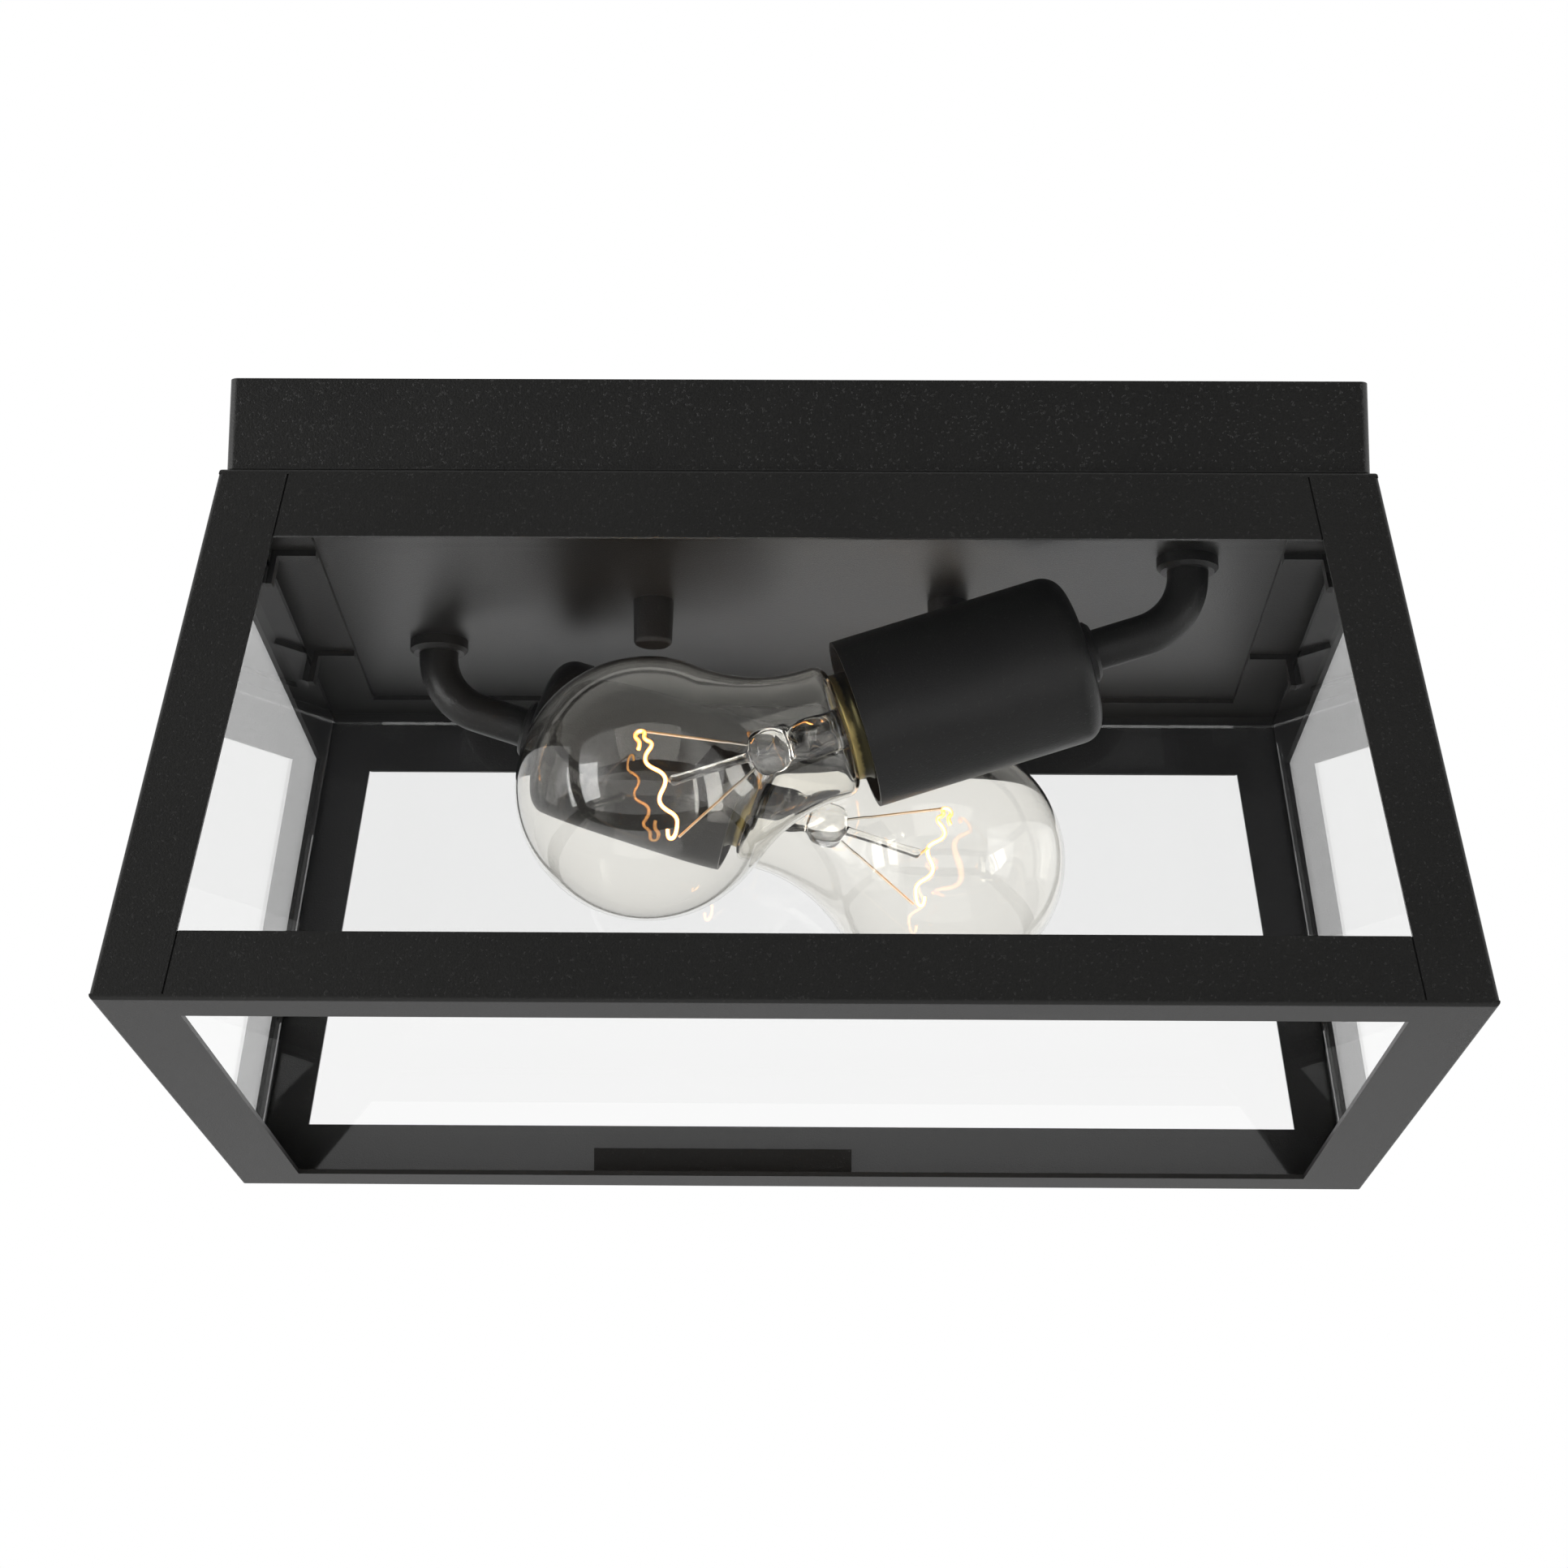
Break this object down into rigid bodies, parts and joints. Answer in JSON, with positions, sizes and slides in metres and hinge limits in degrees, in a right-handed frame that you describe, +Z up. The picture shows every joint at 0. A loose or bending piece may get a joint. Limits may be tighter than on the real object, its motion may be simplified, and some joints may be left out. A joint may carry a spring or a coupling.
{
  "type": "porch ceiling lantern",
  "caption": "Flush porch ceiling lantern: sloping black angle frame with clear panes under a flat canopy, open below, with bent socket arms and clear globe bulbs.",
  "frame": {"origin": "middle of the mounting crossbar, in the plane of the ceiling", "axes": "+Z up into the ceiling, X along the lantern, +Y to its rear; the lantern hangs below the origin"},
  "size_m": [0.2876, 0.2316, 0.1422],
  "materials": {
    "black_powder_coat": "matt, fine texture",
    "window_glass": "clear, polished",
    "bulb_glass": "clear, blown",
    "brass": "bright rolled",
    "black_vitrite": "glossy black glass",
    "solder": "dull solder",
    "nickel_wire": "drawn wire",
    "glowing_filament": "glowing tungsten",
    "glazed_porcelain": "white glaze",
    "green_screw": "green passivated",
    "zinc_steel": "zinc plated"
  },
  "bodies": {
    "lantern": {"arm_lock_nuts": "zinc_steel", "arm_lock_washers": "zinc_steel", "bottom_rail_front": "black_powder_coat", "bottom_rail_left": "black_powder_coat", "bottom_rail_rear": "black_powder_coat", "bottom_rail_right": "black_powder_coat", "canopy_pan": "black_powder_coat", "front_arm": "black_powder_coat", "front_arm_flange": "black_powder_coat", "front_centre_contact": "brass", "front_cup_collar": "black_powder_coat", "front_screw_shell": "brass", "front_socket_body": "glazed_porcelain", "front_socket_cup": "black_powder_coat", "ground_screw": "green_screw", "mounting_crossbar": "zinc_steel", "mounting_studs": "zinc_steel", "pane_clips": "black_powder_coat", "pane_front": "window_glass", "pane_left": "window_glass", "pane_rear": "window_glass", "pane_right": "window_glass", "post_front_left": "black_powder_coat", "post_front_right": "black_powder_coat", "post_rear_left": "black_powder_coat", "post_rear_right": "black_powder_coat", "rear_arm": "black_powder_coat", "rear_arm_flange": "black_powder_coat", "rear_centre_contact": "brass", "rear_cup_collar": "black_powder_coat", "rear_pane_stop": "black_powder_coat", "rear_screw_shell": "brass", "rear_socket_body": "glazed_porcelain", "rear_socket_cup": "black_powder_coat", "stud_nuts": "zinc_steel", "top_rail_front": "black_powder_coat", "top_rail_left": "black_powder_coat", "top_rail_rear": "black_powder_coat", "top_rail_right": "black_powder_coat"},
    "front_bulb": {"front_bulb_base": "brass", "front_bulb_filament": "glowing_filament", "front_bulb_glass": "bulb_glass", "front_bulb_insulator": "black_vitrite", "front_bulb_stem": "bulb_glass", "front_bulb_tip": "solder", "front_bulb_wires": "nickel_wire"},
    "rear_bulb": {"rear_bulb_base": "brass", "rear_bulb_filament": "glowing_filament", "rear_bulb_glass": "bulb_glass", "rear_bulb_insulator": "black_vitrite", "rear_bulb_stem": "bulb_glass", "rear_bulb_tip": "solder", "rear_bulb_wires": "nickel_wire"},
    "left_cap_nut": {"cap_nut_left": "black_powder_coat", "cap_washer_left": "black_powder_coat"},
    "right_cap_nut": {"cap_nut_right": "black_powder_coat", "cap_washer_right": "black_powder_coat"}
  },
  "joints": [
    {"name": "front_bulb_out", "type": "slide", "parent": "lantern", "child": "front_bulb", "axis": [-0.9511, 0, -0.309], "range_m": [0, 0.028]},
    {"name": "rear_bulb_out", "type": "slide", "parent": "lantern", "child": "rear_bulb", "axis": [0.9511, 0, -0.309], "range_m": [0, 0.028]},
    {"name": "left_cap_nut_off", "type": "slide", "parent": "lantern", "child": "left_cap_nut", "axis": [0, 0, -1], "range_m": [0, 0.009]},
    {"name": "right_cap_nut_off", "type": "slide", "parent": "lantern", "child": "right_cap_nut", "axis": [0, 0, -1], "range_m": [0, 0.009]}
  ]
}
